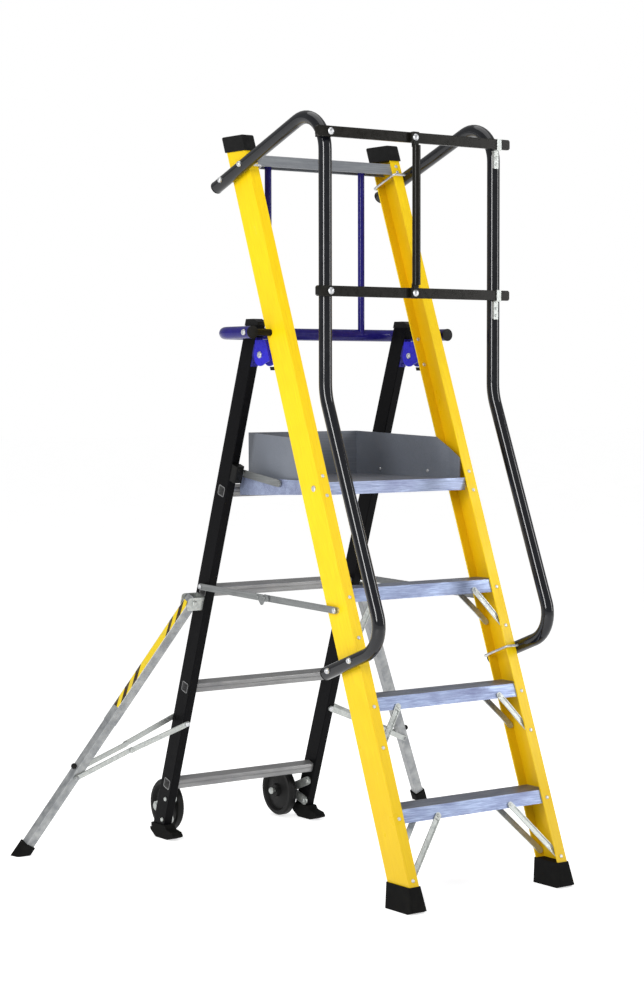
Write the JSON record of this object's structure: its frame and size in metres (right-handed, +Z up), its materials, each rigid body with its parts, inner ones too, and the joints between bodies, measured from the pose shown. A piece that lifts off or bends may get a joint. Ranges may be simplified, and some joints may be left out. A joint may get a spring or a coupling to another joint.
{
  "type": "podium step ladder",
  "caption": "Folding glass-fibre podium step ladder with treads, a guarded platform, lift-up gate, folding rear frame with wheels, and stabiliser outriggers.",
  "frame": {"origin": "on the floor, at the centre of the whole footprint with the outriggers open", "axes": "+Z up; -Y is the climbing side; +X is the climber's right"},
  "size_m": [1.4116, 1.2742, 1.9383],
  "materials": {
    "grp_yellow": "glass-fibre channel, gloss",
    "tread_aluminium": "mill finish, oxidised",
    "deck_aluminium": "mill finish, ribbed",
    "toe_grey": "matt grey sheet",
    "bar_grey": "satin",
    "rail_black": "gloss powder coat",
    "gate_dark": "satin powder coat",
    "leg_black": "satin powder coat",
    "hoop_blue": "gloss powder coat",
    "bracket_blue": "gloss powder coat",
    "galvanised": "galvanised",
    "zinc": "zinc plated",
    "black_plastic": "moulded",
    "black_rubber": "moulded",
    "tube_grey": "satin"
  },
  "bodies": {
    "front_frame": {"stile_left": "grp_yellow", "stile_right": "grp_yellow", "tread_1": "tread_aluminium", "tread_2": "tread_aluminium", "tread_3": "tread_aluminium", "tread_braces": "galvanised", "stile_caps": "black_plastic", "front_foot_left": "black_rubber", "front_foot_right": "black_rubber", "top_bar": "bar_grey", "guard_rail_left": "rail_black", "guard_rail_right": "rail_black", "rail_plugs": "black_plastic", "rail_clamps": "zinc", "frame_rivets": "zinc", "rear_hoop": "hoop_blue", "hoop_uprights": "hoop_blue", "frame_bolts": "zinc", "hinge_brackets": "bracket_blue", "hinge_pads": "black_plastic", "hinge_pins": "zinc", "gate_saddles": "black_plastic", "gate_catches": "galvanised"},
    "rear_frame": {"rear_leg_left": "leg_black", "rear_leg_right": "leg_black", "leg_caps": "black_plastic", "rear_rungs": "tube_grey", "rear_foot_left": "black_rubber", "rear_foot_right": "black_rubber", "leg_lugs": "bracket_blue", "wheel_mounts": "galvanised", "link_blocks": "black_plastic", "outrigger_brackets": "galvanised", "leg_bolts": "zinc"},
    "platform": {"platform_deck": "deck_aluminium", "toe_board": "toe_grey", "platform_fixings": "zinc"},
    "gate_rail_upper": {"gate_rail_upper": "gate_dark"},
    "gate_rail_lower": {"gate_rail_lower": "gate_dark"},
    "gate_upright": {"gate_upright": "gate_dark"},
    "wheel_left": {"wheel_left": "black_plastic"},
    "platform_link_left": {"platform_link_left": "bar_grey"},
    "spreader_front_left": {"spreader_front_left": "bar_grey"},
    "spreader_rear_left": {"spreader_rear_left": "bar_grey"},
    "outrigger_left": {"outrigger_arm_left": "tube_grey", "outrigger_knob_left": "black_plastic"},
    "outrigger_leg_left": {"outrigger_extension_left": "tube_grey", "outrigger_foot_left": "black_rubber"},
    "stay_inner_left": {"stay_inner_left": "galvanised"},
    "stay_outer_left": {"stay_outer_left": "galvanised"},
    "wheel_right": {"wheel_right": "black_plastic"},
    "platform_link_right": {"platform_link_right": "bar_grey"},
    "spreader_front_right": {"spreader_front_right": "bar_grey"},
    "spreader_rear_right": {"spreader_rear_right": "bar_grey"},
    "outrigger_right": {"outrigger_arm_right": "tube_grey", "outrigger_knob_right": "black_plastic"},
    "outrigger_leg_right": {"outrigger_extension_right": "tube_grey", "outrigger_foot_right": "black_rubber"},
    "stay_inner_right": {"stay_inner_right": "galvanised"},
    "stay_outer_right": {"stay_outer_right": "galvanised"}
  },
  "joints": [
    {"name": "rear_fold", "type": "hinge", "parent": "front_frame", "child": "rear_frame", "pos_m": [0, -0.0049, 1.3365], "axis": [1, 0, 0], "range_deg": [-38, 0]},
    {"name": "platform_fold", "type": "hinge", "parent": "front_frame", "child": "platform", "pos_m": [0, -0.2309, 1], "axis": [1, 0, 0], "range_deg": [0, 53.9]},
    {"name": "gate_lift", "type": "hinge", "parent": "front_frame", "child": "gate_rail_upper", "pos_m": [-0.274, -0.3296, 1.877], "axis": [0, -1, 0], "range_deg": [0, 75]},
    {"name": "gate_lower_turn", "type": "hinge", "parent": "front_frame", "child": "gate_rail_lower", "pos_m": [-0.274, -0.3296, 1.489], "axis": [0, -1, 0], "range_deg": [0, 75]},
    {"name": "gate_upright_turn", "type": "hinge", "parent": "gate_rail_upper", "child": "gate_upright", "pos_m": [-0.017, -0.3296, 1.877], "axis": [0, -1, 0], "range_deg": [-75, 0]},
    {"name": "wheel_left_spin", "type": "hinge", "parent": "rear_frame", "child": "wheel_left", "pos_m": [-0.193, 0.5641, 0.076], "axis": [1, 0, 0], "continuous": true},
    {"name": "platform_link_left_turn", "type": "hinge", "parent": "platform", "child": "platform_link_left", "pos_m": [-0.218, -0.0279, 1.005], "axis": [1, 0, 0], "range_deg": [-142.2, 0]},
    {"name": "spreader_front_left_turn", "type": "hinge", "parent": "front_frame", "child": "spreader_front_left", "pos_m": [-0.2595, -0.3297, 0.703], "axis": [1, 0, 0], "range_deg": [0, 63.4]},
    {"name": "spreader_rear_left_turn", "type": "hinge", "parent": "rear_frame", "child": "spreader_rear_left", "pos_m": [-0.263, 0.2766, 0.718], "axis": [1, 0, 0], "range_deg": [-46.9, 0]},
    {"name": "outrigger_left_fold", "type": "hinge", "parent": "rear_frame", "child": "outrigger_left", "pos_m": [-0.285, 0.28956, 0.67957], "axis": [0, 0.9465, 0.3228], "range_deg": [-29, 0]},
    {"name": "outrigger_left_slide", "type": "slide", "parent": "outrigger_left", "child": "outrigger_leg_left", "axis": [-0.4848, 0.2823, -0.8278], "range_m": [0, 0.15]},
    {"name": "stay_inner_left_turn", "type": "hinge", "parent": "rear_frame", "child": "stay_inner_left", "pos_m": [-0.2435, 0.40478, 0.34168], "axis": [0, 0.9465, 0.3228], "range_deg": [-3.3, 0]},
    {"name": "stay_outer_left_turn", "type": "hinge", "parent": "outrigger_left", "child": "stay_outer_left", "pos_m": [-0.55795, 0.44849, 0.21352], "axis": [0, 0.9465, 0.3228], "range_deg": [-78.7, 0]},
    {"name": "wheel_right_spin", "type": "hinge", "parent": "rear_frame", "child": "wheel_right", "pos_m": [0.193, 0.5641, 0.076], "axis": [1, 0, 0], "continuous": true},
    {"name": "platform_link_right_turn", "type": "hinge", "parent": "platform", "child": "platform_link_right", "pos_m": [0.218, -0.0279, 1.005], "axis": [1, 0, 0], "range_deg": [-142.2, 0]},
    {"name": "spreader_front_right_turn", "type": "hinge", "parent": "front_frame", "child": "spreader_front_right", "pos_m": [0.2595, -0.3297, 0.703], "axis": [1, 0, 0], "range_deg": [0, 63.4]},
    {"name": "spreader_rear_right_turn", "type": "hinge", "parent": "rear_frame", "child": "spreader_rear_right", "pos_m": [0.263, 0.2766, 0.718], "axis": [1, 0, 0], "range_deg": [-46.9, 0]},
    {"name": "outrigger_right_fold", "type": "hinge", "parent": "rear_frame", "child": "outrigger_right", "pos_m": [0.285, 0.28956, 0.67957], "axis": [0, -0.9465, -0.3228], "range_deg": [-29, 0]},
    {"name": "outrigger_right_slide", "type": "slide", "parent": "outrigger_right", "child": "outrigger_leg_right", "axis": [0.4848, 0.2823, -0.8278], "range_m": [0, 0.15]},
    {"name": "stay_inner_right_turn", "type": "hinge", "parent": "rear_frame", "child": "stay_inner_right", "pos_m": [0.2435, 0.40478, 0.34168], "axis": [0, -0.9465, -0.3228], "range_deg": [-3.3, 0]},
    {"name": "stay_outer_right_turn", "type": "hinge", "parent": "outrigger_right", "child": "stay_outer_right", "pos_m": [0.55795, 0.44849, 0.21352], "axis": [0, -0.9465, -0.3228], "range_deg": [-78.7, 0]}
  ],
  "couplings": [
    {"joint": "platform_fold", "follows": "rear_fold", "ratio": -1.4125},
    {"joint": "gate_lower_turn", "follows": "gate_lift", "ratio": 1},
    {"joint": "gate_upright_turn", "follows": "gate_lift", "ratio": -1},
    {"joint": "platform_link_left_turn", "follows": "rear_fold", "ratio": 3.7318},
    {"joint": "spreader_front_left_turn", "follows": "rear_fold", "ratio": -1.6627},
    {"joint": "spreader_rear_left_turn", "follows": "rear_fold", "ratio": 1.2274},
    {"joint": "stay_inner_left_turn", "follows": "outrigger_left_fold", "ratio": 0.1095},
    {"joint": "stay_outer_left_turn", "follows": "outrigger_left_fold", "ratio": 2.7051},
    {"joint": "platform_link_right_turn", "follows": "rear_fold", "ratio": 3.7318},
    {"joint": "spreader_front_right_turn", "follows": "rear_fold", "ratio": -1.6627},
    {"joint": "spreader_rear_right_turn", "follows": "rear_fold", "ratio": 1.2274},
    {"joint": "stay_inner_right_turn", "follows": "outrigger_right_fold", "ratio": 0.1095},
    {"joint": "stay_outer_right_turn", "follows": "outrigger_right_fold", "ratio": 2.7051}
  ]
}
